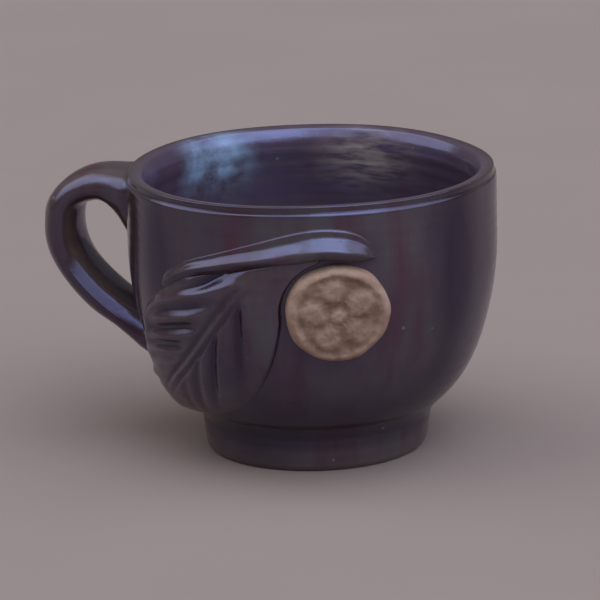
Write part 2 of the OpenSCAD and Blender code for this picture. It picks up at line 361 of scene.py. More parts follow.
def build_bowl():
    profile = bowl_profile()
    r, side, z = revolve(profile, AROUND)
    lip_row = int(np.argmax(profile[:, 1]))
    inside = (np.arange(len(profile)) > lip_row)[:, None]
    rings = RING_D * np.sin(2 * np.pi * z / RING_PITCH + side)
    rings = rings + FINE_RING_D * np.sin(2 * np.pi * z / FINE_RING_PITCH - side)
    rings = np.where(inside, rings * fading(*RING_END_ZONE, z), 0)
    r = r + np.clip(r / UNDER_R, 0, 1) * (hand_wobble(side, z) + rings)
    rim_wave = RIM_WAVE * np.sin(RIM_WAVES * side + RIM_WAVE_PHASE) + RIM_RIPPLE * np.sin(RIM_RIPPLES * side)
    z = z + smooth(*RIM_WAVE_ZONE, z) * rim_wave
    return tube_object("bowl_thrown", spun(r, side, z), **bowl_layers(side, z, inside))


# Foot ring
FOOT_R = 19.9
FOOT_TOP_R = 20.5
FOOT_IN_R = 15.5
FOOT_BEVEL = 1.3
FOOT_FILLET = 1.9
FOOT_INNER_FILLET = FOOT_FILLET / 2
FOOT_INNER_REACH = FOOT_FILLET / 3
FOOT_SINK = 0.6
FOOT_SKIN = 0.015
FOOT_SKIN_REACHES = (1.3, 1.6, 2.0)
FOOT_CORNER_ROWS = 10
FOOT_SIDE_ROWS = 10
FOOT_FILLET_ROWS = 20
FOOT_INNER_ROWS = 6

# Foot ring by height: where the flat stays true, and its bare, thin and dark glaze
FOOT_TRUE_ZONE = (0, 2)
FOOT_BARE_ZONE = (0.05, 0.45)
FOOT_THIN = 0.9
FOOT_THIN_ZONE = (1, 5)
FOOT_DARK = 0.6
FOOT_DARK_ZONE = (2, 6)


def bowl_at(r, deep=0.0):
    """Point of the outer wall's profile at a radius, pushed into the wall, and the wall's direction there."""
    turn = np.arccos((r - UNDER_R) / BELLY_R)
    lean = lean_at(turn)
    along = np.array([math.sin(lean), math.cos(lean)])
    return belly(np.array([turn]))[0] + deep * np.array([-along[1], along[0]]), along


def crossing(a, a_way, b, b_way):
    """Where two lines in the profile's plane meet."""
    steps = np.linalg.solve(np.column_stack([a_way, -b_way]), b - a)
    return a + steps[0] * a_way


def foot_profile():
    """Closed outline of the foot ring, with a long soft fillet to the bowl outside and a short one inside."""
    def rounded(a, corner, b, count=FOOT_CORNER_ROWS):
        return bezier([a, corner, b], np.linspace(0, 1, count))

    outer, inner = bowl_at(FOOT_TOP_R)[0], bowl_at(FOOT_IN_R)[0]
    foot_out = np.array([FOOT_R, FOOT_BEVEL])
    outward = (outer - foot_out) / np.linalg.norm(outer - foot_out)
    side_end = outer - FOOT_FILLET * outward
    far, far_way = bowl_at(FOOT_TOP_R + FOOT_FILLET, -FOOT_SKIN)
    corner = crossing(side_end, outward, far, far_way)
    dips = [bowl_at(FOOT_TOP_R + reach * FOOT_FILLET, reach * FOOT_SKIN)[0] for reach in FOOT_SKIN_REACHES]
    hidden = [bowl_at(FOOT_TOP_R + FOOT_FILLET, FOOT_SINK)[0], bowl_at(FOOT_IN_R, FOOT_SINK)[0]]
    near = bowl_at(FOOT_IN_R - FOOT_INNER_REACH)[0]
    inner_end = np.array([FOOT_IN_R, inner[1] - FOOT_INNER_FILLET])
    return np.vstack([
        rounded([FOOT_R - FOOT_BEVEL, 0], [FOOT_R, 0], foot_out),
        np.linspace(foot_out, side_end, FOOT_SIDE_ROWS)[1:-1],
        rounded(side_end, corner, far, FOOT_FILLET_ROWS),
        dips,
        hidden,
        rounded(near, inner, inner_end),
        np.linspace(inner_end, [FOOT_IN_R, FOOT_BEVEL], FOOT_INNER_ROWS)[1:-1],
        rounded([FOOT_IN_R, FOOT_BEVEL], [FOOT_IN_R, 0], [FOOT_IN_R + FOOT_BEVEL, 0]),
    ])


def build_foot_ring():
    r, side, z = revolve(foot_profile(), AROUND)
    r = r + hand_wobble(side, z) * smooth(*FOOT_TRUE_ZONE, z)
    layers = {
        "bare": fading(*FOOT_BARE_ZONE, z),
        "thin": FOOT_THIN * fading(*FOOT_THIN_ZONE, z),
        "thick": FOOT_DARK * smooth(*FOOT_DARK_ZONE, z),
    }
    return tube_object("foot_ring_turned", spun(r, side, z), loop=True, **layers)


# Handle: middle line and cross section
STRAP_W = 13.2
STRAP_T = 5.9
STRAP_SQUARE = 2.1
ROOT_DEEP = 1.6
ROOT_DROP = 4.8
ROOT_RISE = 2.2
STAND_OFF = 12.6
BEND_DROP = 12.3
LOW_Z = 20.0
LOW_SLOPE = math.radians(35)
TOP_PULL = 11.3
SHOULDER_PULL = 5.7
ELBOW_PULL = 8.1
LOW_PULL = 7.0
STRAP_ROWS = 64
STRAP_END_ROWS = 4
STRAP_SIDES = 56

# Handle: swellings at its roots. A run is 0 at the upper root, 1 at the bend and 2 at the lower root
ROOT_FILLET = 9.0
ROOT_FADE = 0.28
ROOT_FLARE = 0.15
ROOT_REACH = 1.8
ROOT_OUT_SWELL = 0.5
ROOT_LOW_SWELL = 1.5
ROOT_TOP_SPREAD = 0.16
ROOT_LOW_SPREAD = 0.12

# Handle: a fuller back, a hump near the top, and a scraped bevel along the lower strap, its zone in rows
STRAP_BACK = 0.62
STRAP_BACK_ZONE = (0.55, 0.85)
STRAP_BACK_END_ZONE = (1.55, 1.8)
STRAP_HUMP = 0.45
STRAP_HUMP_AT = 0.22
STRAP_HUMP_LONG = 0.14
STRAP_BEVEL = 0.45
STRAP_BEVEL_TURN = math.radians(30)
STRAP_BEVEL_ZONE = (STRAP_ROWS, 1.35 * STRAP_ROWS)

# Handle: unevenness of the pulled strap as height, turn per row and phase, and its glaze
STRAP_UNEVEN = STRAP_T / 12
STRAP_WAVE = 0.12
STRAP_WAVE_STEP = 0.11
STRAP_WAVE_PHASE = 1.3
STRAP_TWIST = 0.08
STRAP_TWIST_STEP = 0.23
STRAP_SWAY = 0.15
STRAP_SWAY_STEP = 0.05
STRAP_THIN_ZONE = (0.7, 1.0)
STRAP_DARK = 0.3


def strap_line():
    """Middle line of the strap in the handle's plane: distance out from the axis, and height."""
    root = np.array([RIM_R - WALL, CUP_H - ROOT_DROP])
    peak = np.array([RIM_R + STAND_OFF, CUP_H - BEND_DROP])
    low = belly(np.array([turn_at(LOW_Z)]))[0]
    low_way = np.array([-math.cos(LOW_SLOPE), -math.sin(LOW_SLOPE)])
    steps = np.linspace(0, 1, STRAP_ROWS)
    upper = bezier([root, root + [WALL + TOP_PULL, ROOT_RISE], peak + [0, SHOULDER_PULL], peak], steps)
    lower = bezier([peak, peak - [0, ELBOW_PULL], low - LOW_PULL * low_way, low], steps)
    end = low + np.linspace(0, 1, STRAP_END_ROWS)[1:, None] * 2 * WALL * low_way
    return np.vstack([upper, lower[1:], end])


def strap_section(place, angle, at_wall):
    """Width and depth of the strap by row and angle, and its plain section's depth as -1 to 1."""
    square = 2 / STRAP_SQUARE
    across = np.sign(np.cos(angle)) * np.abs(np.cos(angle)) ** square * STRAP_W / 2
    through = np.sign(np.sin(angle)) * np.abs(np.sin(angle)) ** square
    outer = through > 0
    low_half = place > STRAP_ROWS
    run = place / (STRAP_ROWS - 1)
    swell = np.maximum(0, 1 - run / ROOT_FADE) ** 2
    root_swell = np.where(outer, ROOT_OUT_SWELL, np.where(low_half, ROOT_LOW_SWELL, 0))
    back = STRAP_BACK * smooth(*STRAP_BACK_ZONE, run) * fading(*STRAP_BACK_END_ZONE, run)
    hump = STRAP_HUMP * bell(run, STRAP_HUMP_AT, STRAP_HUMP_LONG)
    depth = through * (STRAP_T / 2 + np.where(outer, 0, ROOT_FILLET * swell))
    depth = depth + through * (at_wall * root_swell + np.where(outer, back + hump, 0))
    spread = np.where(low_half, ROOT_LOW_SPREAD, ROOT_TOP_SPREAD)
    return across * (1 + ROOT_FLARE * swell + spread * at_wall), depth, through


def scrape(width, depth, bevelled):
    """Push the inner edge of the strap's near side back to a flat bevel."""
    bevel_y, bevel_in = math.cos(STRAP_BEVEL_TURN), math.sin(STRAP_BEVEL_TURN)
    bevel_at = math.hypot(bevel_y * STRAP_W / 2, bevel_in * STRAP_T / 2) - STRAP_BEVEL
    past = bevelled * np.maximum(0, -width * bevel_y - depth * bevel_in - bevel_at)
    return width + past * bevel_y, depth + past * bevel_in


def build_handle():
    line = strap_line()
    way = np.gradient(line, axis=0)
    way = way / np.linalg.norm(way, axis=1)[:, None]
    out = np.column_stack([-way[:, 1], way[:, 0]])
    place = np.arange(len(line))[:, None]
    angle = np.linspace(0, 2 * np.pi, STRAP_SIDES, endpoint=False)[None, :]
    gap = np.maximum(0, line[:, 0] - wall_radius(line[:, 1]))
    at_wall = np.exp(-gap / ROOT_REACH)[:, None]
    width, depth, through = strap_section(place, angle, at_wall)
    width, depth = scrape(width, depth, smooth(*STRAP_BEVEL_ZONE, place) * (1 - at_wall))
    hand = STRAP_WAVE * np.sin(STRAP_WAVE_STEP * place + STRAP_WAVE_PHASE)
    hand = hand + STRAP_TWIST * np.sin(STRAP_TWIST_STEP * place + 2 * angle)
    depth = depth + hand * through * STRAP_UNEVEN
    x = line[:, :1] + depth * out[:, :1]
    y = width + STRAP_SWAY * np.sin(STRAP_SWAY_STEP * place)
    z = line[:, 1:] + depth * out[:, 1:]
    push = np.maximum(1, (wall_radius(z) - ROOT_DEEP) / np.hypot(x, y))
    edge = np.abs(np.cos(angle) * np.sin(angle)) * 2
    thin = smooth(*STRAP_THIN_ZONE, edge) + 0 * x
    rings = np.stack([-x * push, y * push, z], axis=-1)
    return tube_object("handle_strap", rings, thin=thin, thick=STRAP_DARK * (1 - thin))


# Depth to which the back of the stem and the leaf is sunk in the wall that carries them
SINK = 0.6

# Stem: line from its left tip, along a straight run, to an arch over the medallion
STEM_TIP = np.array([-22.5, -0.7])
STEM_CLIMB = math.radians(14)
STEM_RUN = 28.5
ARCH_R = 18.0
ARCH_SWEEP = math.radians(46)
DROOP = 2.1
DROOP_RUN = 10.0

# Stem: a ridge, with a wide hollow slope above it and a short round side under it
STEM_TIP_W = 1.2
STEM_W = 4.0
STEM_T = 2.6
STEM_TIP_SLOPE_W = 1.6
STEM_SLOPE_W = 2.9
STEM_TIP_UNDER_W = 1.2
STEM_UNDER_W = 2.7
STEM_TIP_ROUND = 1.2
STEM_ROUND = 2.0
STEM_ROUND_ZONE = (STEM_RUN - 6, STEM_RUN)
RIDGE_RISE = 0.2
RIDGE_DROP = 0.6
RIDGE_ZONE = (14, STEM_RUN)
STEM_SLOPE_AT = (0, 0.08, 0.5, 0.6, 0.8, 0.93, 1)
STEM_SLOPE_TALL = (1, 0.95, 0.32, 0.24, 0.22, 0.2, 0)
STEM_CLOSE = 7.0
STEM_CLOSE_POWER = 0.75
STEM_SOFTEN = 4
STEM_UNEVEN = 0.05
STEM_UNEVEN_STEP = 0.9
STEM_THIN = 0.5
STEM_THIN_W = 0.12
STEM_ROWS = 140
STEM_HALF = 26
STEM_ENDS = 0.05


def relief_object(name, spot, height, **layers):
    """Closed slab on the outer wall: a face of given height, and a back sunk in the wall."""
    height[:, [0, -1]] = -SINK / 2
    face = on_bowl(spot[..., 0], spot[..., 1], height)
    back = on_bowl(spot[:, ::-1, 0], spot[:, ::-1, 1], -SINK)
    both = {key: np.hstack([layer, 0 * layer]) for key, layer in layers.items()}
    return tube_object(name, np.hstack([face, back]), **both)


def soften(height, times):
    """Round off creases that run along the rows of a relief."""
    for _ in range(times):
        height[:, 1:-1] = (height[:, :-2] + 2 * height[:, 1:-1] + height[:, 2:]) / 4
    return height


def stem_line(s):
    """Place and heading of the stem at a distance from its tip, and the middle that its arch goes round."""
    s = np.asarray(s, float)
    below = turned(STEM_CLIMB - np.pi / 2)
    arch_start = STEM_TIP + STEM_RUN * turned(STEM_CLIMB)
    middle = arch_start + ARCH_R * below
    heading = STEM_CLIMB - np.maximum(0, s - STEM_RUN) / ARCH_R
    straight = STEM_TIP + s[..., None] * turned(STEM_CLIMB)
    arch = middle + ARCH_R * turned(heading + np.pi / 2)
    return np.where((s < STEM_RUN)[..., None], straight, arch), heading, middle


def stem_size(s):
    """Size of the stem at a distance from its tip, as a share of its full size."""
    return STEM_TIP_W / STEM_W + (1 - STEM_TIP_W / STEM_W) * np.minimum(1, s / STEM_RUN)


def stem_closing(s, total):
    """Share of the stem's width that is left towards its two ends."""
    closing = np.sqrt(1 - np.clip(1 - 2 * s / STEM_W, 0, 1) ** 2)
    return closing * (1 - np.clip(1 - (total - s) / STEM_CLOSE, 0, 1) ** 2) ** STEM_CLOSE_POWER


def build_stem():
    total = STEM_RUN + ARCH_R * ARCH_SWEEP
    s = total * (0.5 - 0.5 * np.cos(np.linspace(STEM_ENDS, np.pi - STEM_ENDS, STEM_ROWS)))
    place, heading, _ = stem_line(s)
    place[:, 1] -= DROOP * np.maximum(0, 1 - s / DROOP_RUN) ** 2
    above = turned(heading + np.pi / 2)
    closing = stem_closing(s, total)
    size = stem_size(s) * closing
    grown = smooth(0, STEM_RUN, s)
    ridge = (RIDGE_RISE - (RIDGE_RISE + RIDGE_DROP) * smooth(*RIDGE_ZONE, s)) * closing
    reach_up = (STEM_TIP_SLOPE_W + (STEM_SLOPE_W - STEM_TIP_SLOPE_W) * grown) * closing - ridge
    reach_low = (STEM_TIP_UNDER_W + (STEM_UNDER_W - STEM_TIP_UNDER_W) * grown) * closing + ridge
    q = np.sin(np.linspace(-np.pi / 2, np.pi / 2, 2 * STEM_HALF + 1))[None, :]
    far = np.abs(q)
    roundness = (STEM_TIP_ROUND + (STEM_ROUND - STEM_TIP_ROUND) * smooth(*STEM_ROUND_ZONE, s))[:, None]
    slope = np.interp(far, STEM_SLOPE_AT, STEM_SLOPE_TALL)
    under = (1 - far**roundness) ** (1 / roundness)
    height = (STEM_T * size)[:, None] * np.where(q > 0, slope, under)
    height = soften(height, STEM_SOFTEN) + STEM_UNEVEN * (np.sin(STEM_UNEVEN_STEP * s) * size)[:, None]
    aside = ridge[:, None] + q * np.where(q > 0, reach_up[:, None], reach_low[:, None])
    spot = place[:, None, :] + aside[..., None] * above[:, None, :]
    thin = STEM_THIN * bell(q, 0, STEM_THIN_W) + 0 * height
    return relief_object("stem_coil", spot, height, thin=thin)


# Leaf: outline. Places and zones along the midrib are shares of the leaf's length
LEAF_JOIN = 25.0
TIP_GAP = 1.6
LEAF_LEAN = math.radians(44)
LEAF_UP_W = 12.4
LEAF_LOW_W = 15.0
LEAF_LEAST_W = 0.8
LEAF_BASE_W = 4.5
LEAF_BASE_FLARE = 80
LEAF_START = -0.03
LEAF_END = 0.985
LEAF_FULL = 0.9
LEAF_SHOULDER = 0.5
LEAF_SHOULDER_LONG = 0.2
LEAF_FOLD = 1.2
LEAF_FOLD_AT = 0.16
LEAF_FOLD_LONG = 0.07
LEAF_GAP = 0.8
SCALLOP = 0.02
LEAF_ROWS = 220
LEAF_HALF = 44
REACH_HALVINGS = 30

# Leaf: midrib, and the slant of the side veins from it
RIB_W = 0.85
RIB_BOW = 1.2
RIB_BOW_AT = 0.27
RIB_BOW_LONG = 0.8
RIB_BOW_ZONE = (0.03, 0.15)
SLANT_UP = 1.6
SLANT_LOW = 1.8
SLANT_BASE = -1.0
SLANT_LONG = 0.1

# Leaf: height of the face, lower towards its base, its tip and its edges, and higher by the medallion
LEAF_T = 2.3
UPPER_DROP = 0.8
UPPER_TUCK = 1.2
TUCK_ZONE = (0.1, 0.22)
LOW_EDGE_T = 0.2
BY_BUTTON_T = 1.5
BY_BUTTON_ZONE = (0.06, 0.15)
BASE_DROP = 0.35
BASE_ZONE = (LEAF_START, 0.1)
TIP_DROP = 0.2
TIP_ZONE = (0.5, 0.9)
TIP_POWER = 14
EDGE_POWER = 10
BY_BUTTON_POWER = 30

# Leaf: rolled margin near the base and wavy margin near the tip, placed as shares of the way to the edge
ROLL = 0.6
ROLL_ZONE = (0.2, 0.5)
ROLL_AT = 0.9
ROLL_WIDE = 0.075
EDGE_WAVE = 0.2
EDGE_WAVES = 7.0
EDGE_WAVE_ZONE = (0.34, 0.5)
EDGE_WAVE_AT = 0.85
EDGE_WAVE_WIDE = 0.2

# Leaf: veins of the upper half, which are the valleys between its swellings
VEIN_FADE = 0.93
VEIN_FADE_ZONE = (0.3, 0.6)
VEIN_D = 0.75
VEIN_BASE_D = 0.5
VEIN_BASE_ZONE = (0.05, 0.2)
VEIN_MID_D = 0.22
VEIN_MID_AT = 0.29
VEIN_MID_LONG = 0.08
VEINS_UP = 12.0
VEIN_UP_LAG = 0.12
PILLOW_RISE = 0.45
VEIN_SHIFT_ZONE = (0.1, 0.18)
VEIN_START_ZONE = (0.05, 0.35)
VEIN_START_SHIFT = 0.2
VEIN_END_ZONE = (0.6, 0.92)
VEIN_END_SHIFT = 0.12

# Leaf: veins of the lower half, which start some rib widths from the midrib, and the groove along the midrib
VEIN_LOW_D = 0.5
VEIN_LOW_BASE_D = 0.4
VEIN_LOW_BASE_ZONE = (0.2, 0.4)
VEINS_LOW = 8.5
VEIN_LOW_LAG = 0.3
VEIN_NARROW = 1.2
VEIN_BASE_NARROW = 3
VEIN_NARROW_ZONE = (0.1, 0.35)
VEIN_LOW_FIRST_ZONE = (0.02, 0.1)
VEIN_LOW_START_ZONE = (0.3, 2.5)
VEIN_LOW_END_ZONE = (0.45, 0.95)
GROOVE_D = 0.5
GROOVE_W = RIB_W / 1.6
GROOVE_START_ZONE = (0.08, 0.2)
GROOVE_END_ZONE = (0.45, 0.75)

# Leaf: glaze, thin on the upper margin and pooled in the veins, and painted shade in the gap by the medallion
LEAF_THIN = 0.7
LEAF_THIN_ZONE = (0.86, 0.97)
# Share of glaze pooled in the veins and of painted shade by the medallion
LEAF_POOL_AND_SHADE = 0.8
# Painted shade on the leaf's lower edge in the gap by the medallion
BY_BUTTON_SHADE = 2
BY_BUTTON_SHADE_ZONE = (0.9, 0.97)


def leaf_axes():
    """Base of the leaf on the wall, the directions along and up from its midrib, and its length."""
    place, _, _ = stem_line(LEAF_JOIN)
    below = turned(STEM_CLIMB - np.pi / 2)
    base = place + stem_size(LEAF_JOIN) * STEM_W / 2 * below
    way = -turned(LEAF_LEAN)
    up = turned(LEAF_LEAN + np.pi / 2)
    foot_turn = math.acos((FOOT_TOP_R - UNDER_R) / BELLY_R)
    length = (base[1] + foot_turn * RIM_R - TIP_GAP) / math.sin(LEAF_LEAN)
    return base, way, up, length


def leaf_spread(u):
    """Width of the leaf at shares of its length, as a share of its full width."""
    inside = np.clip(u, 0, 1)
    return np.sin(np.pi * inside**LEAF_FULL) ** LEAF_FULL


def leaf_width(u, upper, axes):
    """Width of one half of the leaf at shares of its length. The upper half ends at the stem."""
    if not upper:
        return LEAF_LOW_W * np.maximum(leaf_spread(u), LEAF_SHOULDER * (1 - u / LEAF_SHOULDER_LONG))
    _, way, up, length = axes
    edge_climb = STEM_CLIMB - math.atan((STEM_W - STEM_TIP_W) / 2 / STEM_RUN)
    below = turned(edge_climb - np.pi / 2)
    return np.minimum(LEAF_UP_W * leaf_spread(u), u * length * (way @ below) / -(up @ below))


def button_room(s, slant, axes):
    """Length that the lower side veins have up to the gap round the medallion."""
    base, way, up, length = axes
    vein_way = slant[:, None] * way - up
    start = base + s[:, None] * length * way - medallion_place()
    square = (vein_way**2).sum(axis=1)
    b = (start * vein_way).sum(axis=1) / square
    c = ((start**2).sum(axis=1) - (BUTTON_R + LEAF_GAP) ** 2) / square
    meets = (b < 0) & (b * b > c)
    return np.where(meets, -b - np.sqrt(np.maximum(0, b * b - c)), 2 * LEAF_LOW_W)


def vein_reach(s, slant, upper, axes):
    """Length of the side veins that leave the midrib at shares s of its length."""
    length = axes[-1]
    low, high = np.zeros_like(s), np.full_like(s, 2 * (LEAF_UP_W if upper else LEAF_LOW_W))
    for _ in range(REACH_HALVINGS):
        mid = (low + high) / 2
        inside = leaf_width(s + slant * mid / length, upper, axes) > mid
        low, high = np.where(inside, mid, low), np.where(inside, high, mid)
    return low if upper else np.minimum(low, button_room(s, slant, axes))


def pillow(s):
    """Height of the upper swellings between veins, 0 to 1: steep towards the base, gentle towards the tip."""
    part = VEINS_UP * (s - VEIN_UP_LAG * (1 - np.exp(-s / VEIN_UP_LAG))) % 1
    rise = 0.5 - 0.5 * np.cos(np.pi * part / PILLOW_RISE)
    fall = 0.5 + 0.5 * np.cos(np.pi * (part - PILLOW_RISE) / (1 - PILLOW_RISE))
    return np.where(part < PILLOW_RISE, rise, fall)


def upper_veins(s, far, fade):
    """Depth of the valleys between the upper swellings."""
    depth = fade * (VEIN_D + VEIN_BASE_D * fading(*VEIN_BASE_ZONE, s))
    depth = depth + VEIN_MID_D * bell(s, VEIN_MID_AT, VEIN_MID_LONG)
    at_base = fading(*VEIN_SHIFT_ZONE, s)
    start = [at + VEIN_START_SHIFT * at_base for at in VEIN_START_ZONE]
    end = [at - VEIN_END_SHIFT * at_base for at in VEIN_END_ZONE]
    return depth * (1 - pillow(s)) * smooth(*start, far) * fading(*end, far)


def lower_veins(s, far, p, fade):
    """Depth of the lower side veins, which are narrower towards the base."""
    wave = 0.5 + 0.5 * np.cos(2 * np.pi * (s * VEINS_LOW - VEIN_LOW_LAG))
    narrow = VEIN_NARROW + VEIN_BASE_NARROW * fading(*VEIN_NARROW_ZONE, s)
    depth = fade * (VEIN_LOW_D + VEIN_LOW_BASE_D * fading(*VEIN_LOW_BASE_ZONE, s))
    vein = depth * wave**narrow * smooth(*VEIN_LOW_START_ZONE, p / RIB_W) * fading(*VEIN_LOW_END_ZONE, far)
    return vein * smooth(*VEIN_LOW_FIRST_ZONE, s)


def margin(s, far):
    """Height of the rolled and wavy margin on the upper half."""
    roll = ROLL * smooth(*TUCK_ZONE, s) * fading(*ROLL_ZONE, s) * bell(far, ROLL_AT, ROLL_WIDE)
    wave = EDGE_WAVE * np.cos(2 * np.pi * EDGE_WAVES * s) * smooth(*EDGE_WAVE_ZONE, s)
    return roll + wave * bell(far, EDGE_WAVE_AT, EDGE_WAVE_WIDE)


def leaf_heights(s, q, p):
    """Height of the leaf's face, and how far each point lies in a vein or in the painted shade of the gap by
    the medallion.
    """
    far = np.abs(q)
    upper = q > 0
    fade = 1 - VEIN_FADE * smooth(*VEIN_FADE_ZONE, s)
    vein = np.where(upper, upper_veins(s, far, fade), lower_veins(s, far, p, fade))
    groove = GROOVE_D * bell(p, RIB_W, GROOVE_W) * smooth(*GROOVE_START_ZONE, s) * fading(*GROOVE_END_ZONE, s)
    cut = np.maximum(vein, groove)
    upper_face = LEAF_T - (UPPER_DROP + UPPER_TUCK * fading(*TUCK_ZONE, s)) * far**2 + margin(s, far)
    by_button = fading(*BY_BUTTON_ZONE, s)
    low_edge = LOW_EDGE_T + BY_BUTTON_T * by_button
    lower_face = low_edge + (LEAF_T - low_edge) * (1 - far**2)
    ends = np.sqrt(1 - s**TIP_POWER) * (1 - BASE_DROP * fading(*BASE_ZONE, s))
    ends = ends * (1 - TIP_DROP * smooth(*TIP_ZONE, s))
    edges = np.sqrt(1 - far ** (EDGE_POWER + BY_BUTTON_POWER * by_button))
    # Painted shade along the lower margin in the gap by the medallion
    shade_beside = BY_BUTTON_SHADE * by_button * smooth(*BY_BUTTON_SHADE_ZONE, far) * ~upper
    return (np.where(upper, upper_face, lower_face) - cut) * ends * edges, np.maximum(cut / VEIN_D, shade_beside)


def leaf_sides(s, axes):
    """Slants and lengths of the side veins in the upper and the lower half."""
    slant_up = np.full_like(s, SLANT_UP)
    slant_low = SLANT_BASE + (SLANT_LOW - SLANT_BASE) * (1 - np.exp(-s / SLANT_LONG))
    fold = LEAF_FOLD * bell(s, LEAF_FOLD_AT, LEAF_FOLD_LONG)
    up_len = np.maximum(LEAF_LEAST_W, vein_reach(s, slant_up, True, axes)) + fold
    up_len = up_len * (1 - SCALLOP * (1 - pillow(s)) ** 2)
    low_len = vein_reach(s, slant_low, False, axes)
    low_len = np.minimum(low_len, LEAF_BASE_W + LEAF_BASE_FLARE * np.maximum(0, s))
    return (slant_up, slant_low), (up_len, low_len)


def build_leaf():
    axes = leaf_axes()
    base, way, up, length = axes
    s = np.linspace(LEAF_START, LEAF_END, LEAF_ROWS)
    slants, lengths = leaf_sides(s, axes)
    spread = np.linspace(-1, 1, 2 * LEAF_HALF + 1)[None, :]
    q = np.sign(spread) * (0.5 - 0.5 * np.cos(np.pi * np.abs(spread)))
    far = np.abs(q)
    upper = q > 0
    slant, reach = (np.where(upper, high[:, None], low[:, None]) for high, low in (slants, lengths))
    s = s[:, None]
    p = far * reach
    bow = -RIB_BOW * np.sin(2 * np.pi * (s - RIB_BOW_AT) / RIB_BOW_LONG)
    bow = bow * (1 - s**2) * smooth(*RIB_BOW_ZONE, s)
    along = s * length + slant * p
    aside = np.sign(q) * p + bow * (1 - far)
    spot = base + along[..., None] * way + aside[..., None] * up
    height, deep = leaf_heights(s, q, p)
    thin = LEAF_THIN * upper * smooth(*LEAF_THIN_ZONE, far) + 0 * p
    return relief_object("leaf_relief", spot, height, thin=thin, pool=np.minimum(1, LEAF_POOL_AND_SHADE * deep))


# Medallion: a round button that hangs in the stem's arch
BUTTON_R = 8.9
BUTTON_T = 2.7
BUTTON_SINK = 1.9
BUTTON_ROUND = 1.3
BUTTON_FLAT_R = BUTTON_R - BUTTON_ROUND
BUTTON_OVAL = (1.02, 0.95)
BUTTON_DOME = 0.25
BUTTON_TURN = math.radians(21)
BUTTON_GAP = 1.0
BUTTON_LIFT = np.array([0.1, 0.35])
BUTTON_MIDDLE = 0.02
BUTTON_FACE_ROWS = 46
BUTTON_ROUND_ROWS = 12
BUTTON_SKIRT_ROWS = 8
BUTTON_SIDES = 128

# Medallion: waves of its edge as count, height and phase
BUTTON_WAVES = (
    (3, 0.012, 0.4),
    (5, 0.008, 2.0),
    (9, 0.006, 0.0),
)

# Medallion: a shallow pressed field, with a plain five-petal flower standing in it
FIELD_R = 7.9
FIELD_D = 0.45
FIELD_ZONE = (0.82, 1.02)
FIELD_UNEVEN = 0.25
FIELD_WAVES = 3
FIELD_PHASE = 1
FLOWER_MIDDLE = 1.9
FLOWER_MIDDLE_ZONE = (0.3, 1.0)
FLOWER_TURN = 0.5
PETALS = 5
PETAL_AT = 4.5
PETAL_LONG = 3.2
PETAL_WIDE = 2.9
PETAL_UNEVEN = 0.1
PETAL_STEP = 3.0
PETAL_PHASE = 1
PETAL_ZONE = (0.35, 1.0)

# Medallion: grain of the clay, and how dents and grain show as darker pits
GRAIN_D = 0.16
GRAIN_PER_MM = 0.45
GRAIN_DIMENSION = 0.6
GRAIN_FINER = 2.1
GRAIN_OCTAVES = 4
GRAIN_ZONE = (0.2, 1.2)
PIT_D = 0.5
PIT_GRAIN = 0.6


def medallion_place():
    """Place on the unrolled wall where the medallion hangs in the arch, before its small lift."""
    _, _, arch_middle = stem_line(0.0)
    hang = ARCH_R - STEM_W / 2 - BUTTON_GAP - BUTTON_R
    return arch_middle + hang * np.array([math.sin(BUTTON_TURN), math.cos(BUTTON_TURN)])


def petal(x, y, k):
    """One petal of the flower: 1 on its top, 0 past its edge."""
    turn = FLOWER_TURN + 2 * np.pi * k / PETALS
    size = 1 + PETAL_UNEVEN * math.sin(PETAL_STEP * k + PETAL_PHASE)
    along = (x * math.cos(turn) + y * math.sin(turn) - PETAL_AT) / (PETAL_LONG * size)
    aside = (y * math.cos(turn) - x * math.sin(turn)) / (PETAL_WIDE * size)
    return fading(*PETAL_ZONE, np.hypot(along, aside))


def clay_dents(x, y):
    """Depth of the medallion's pressed field, apart from the flower that stands in it."""
    flower = fading(*FLOWER_MIDDLE_ZONE, np.hypot(x, y) / FLOWER_MIDDLE)
    for k in range(PETALS):
        flower = np.maximum(flower, petal(x, y, k))
    field_r = FIELD_R + FIELD_UNEVEN * np.sin(FIELD_WAVES * np.arctan2(y, x) + FIELD_PHASE)
    return FIELD_D * fading(*FIELD_ZONE, np.hypot(x, y) / field_r) * (1 - flower)


def clay_grain(x, y, z):
    """Grain of the clay at each point, about -1 to 1."""
    places = GRAIN_PER_MM * np.stack([x, y, z], axis=-1).reshape(-1, 3)
    grain = [noise.fractal(Vector(place), GRAIN_DIMENSION, GRAIN_FINER, GRAIN_OCTAVES) for place in places]
    return np.reshape(grain, x.shape)


def button_shape():
    """Points of a plain button that lies flat, and their distances from its middle."""
    angle = np.linspace(0, 2 * np.pi, BUTTON_SIDES, endpoint=False)[None, :]
    lumpy = 1
    for count, high, phase in BUTTON_WAVES:
        lumpy = lumpy + high * np.sin(count * angle + phase)
    face_r = BUTTON_FLAT_R * np.linspace(BUTTON_MIDDLE, 1, BUTTON_FACE_ROWS)[:, None]
    corner = np.linspace(0, np.pi / 2, BUTTON_ROUND_ROWS)[1:, None]
    edge_r = BUTTON_FLAT_R + BUTTON_ROUND * np.sin(corner)
    edge_z = BUTTON_T - BUTTON_ROUND * (1 - np.cos(corner))
    skirt_z = np.linspace(BUTTON_T - BUTTON_ROUND, -BUTTON_SINK, BUTTON_SKIRT_ROWS)[1:, None]
    r = np.vstack([face_r, edge_r, np.full_like(skirt_z, BUTTON_R)]) * lumpy
    z = np.vstack([np.full_like(face_r, BUTTON_T), edge_z, skirt_z]) + 0 * angle
    return BUTTON_OVAL[0] * r * np.cos(angle), BUTTON_OVAL[1] * r * np.sin(angle), z, r


